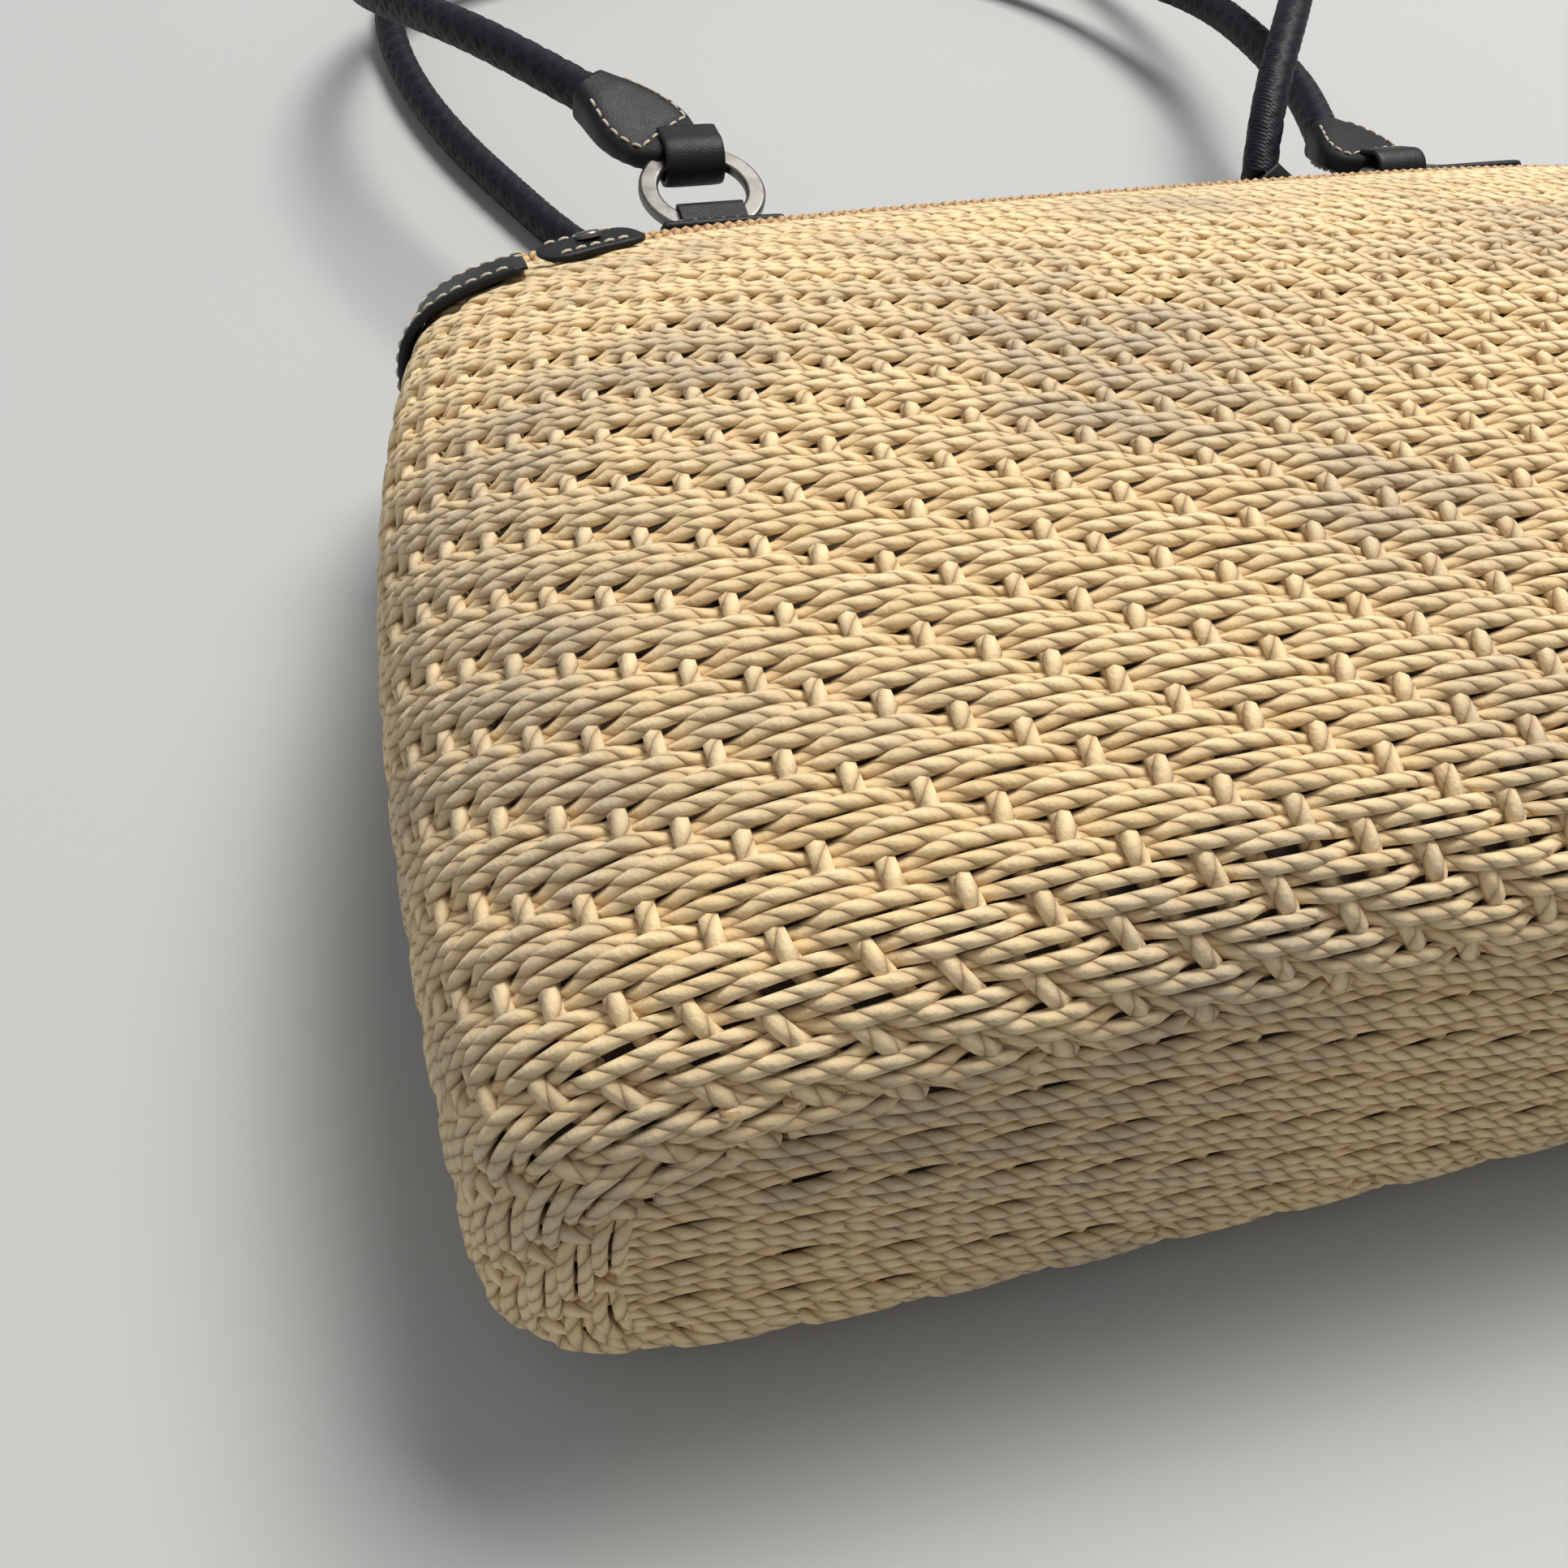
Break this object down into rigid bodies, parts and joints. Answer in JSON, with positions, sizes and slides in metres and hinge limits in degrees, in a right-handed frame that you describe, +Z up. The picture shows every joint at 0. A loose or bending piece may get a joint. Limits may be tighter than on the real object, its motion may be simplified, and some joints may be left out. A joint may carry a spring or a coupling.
{
  "type": "beach bag",
  "caption": "Woven cord beach bag lying on its back, with a leather-trimmed mouth, ring-mounted rope handles and a snap closure tab.",
  "frame": {"origin": "middle of the ground footprint of the bag as it lies on its back panel, measured without the handles", "axes": "+X across the bag, from the wearer's left to right end as seen from above; +Y from the bottom panel to the mouth and the handles; +Z up, out of the front panel"},
  "size_m": [0.4293, 0.6511, 0.1195],
  "materials": {
    "woven_cord": "matte twisted plant-fibre cord",
    "rim_cord": "matte fibrous cord",
    "lining_cloth": "matte plain-weave cotton",
    "board": "matte",
    "leather": "semi-gloss",
    "rope": "satin braided cord",
    "pewter": "dull pewter plating"
  },
  "bodies": {
    "bag": {"woven_body": "woven_cord", "rim_roll": "rim_cord", "lining": "lining_cloth", "base_board": "board", "mouth_facing": "leather", "belt_left": "leather", "belt_right": "leather", "tongue_left": "leather", "tongue_right": "leather", "tongue_rivets": "pewter", "snap_socket": "pewter", "snap_patch": "leather", "tab_base_front_left": "leather", "tab_base_front_right": "leather", "tab_base_back_left": "leather", "tab_base_back_right": "leather"},
    "closure": {"closure_tab": "leather", "snap_stud": "pewter"},
    "handle_front": {"tab_loop_front_left": "leather", "ring_front_left": "pewter", "chape_front_left": "leather", "tab_loop_front_right": "leather", "ring_front_right": "pewter", "chape_front_right": "leather", "rope_front": "rope"},
    "handle_back": {"tab_loop_back_left": "leather", "ring_back_left": "pewter", "chape_back_left": "leather", "tab_loop_back_right": "leather", "ring_back_right": "pewter", "chape_back_right": "leather", "rope_back": "rope"}
  },
  "joints": [
    {"name": "closure_flap", "type": "hinge", "parent": "bag", "child": "closure", "pos_m": [0.004, 0.11285, 0.012], "axis": [1, 0, 0], "range_deg": [-70, 3]},
    {"name": "front_lift", "type": "hinge", "parent": "bag", "child": "handle_front", "pos_m": [0, 0.11565, 0.05851], "axis": [1, 0, 0], "range_deg": [0, 12]},
    {"name": "back_lift", "type": "hinge", "parent": "bag", "child": "handle_back", "pos_m": [0, 0.11565, 0.01041], "axis": [1, 0, 0], "range_deg": [0, 12]}
  ],
  "couplings": [
    {"joint": "back_lift", "follows": "front_lift", "ratio": 1}
  ]
}
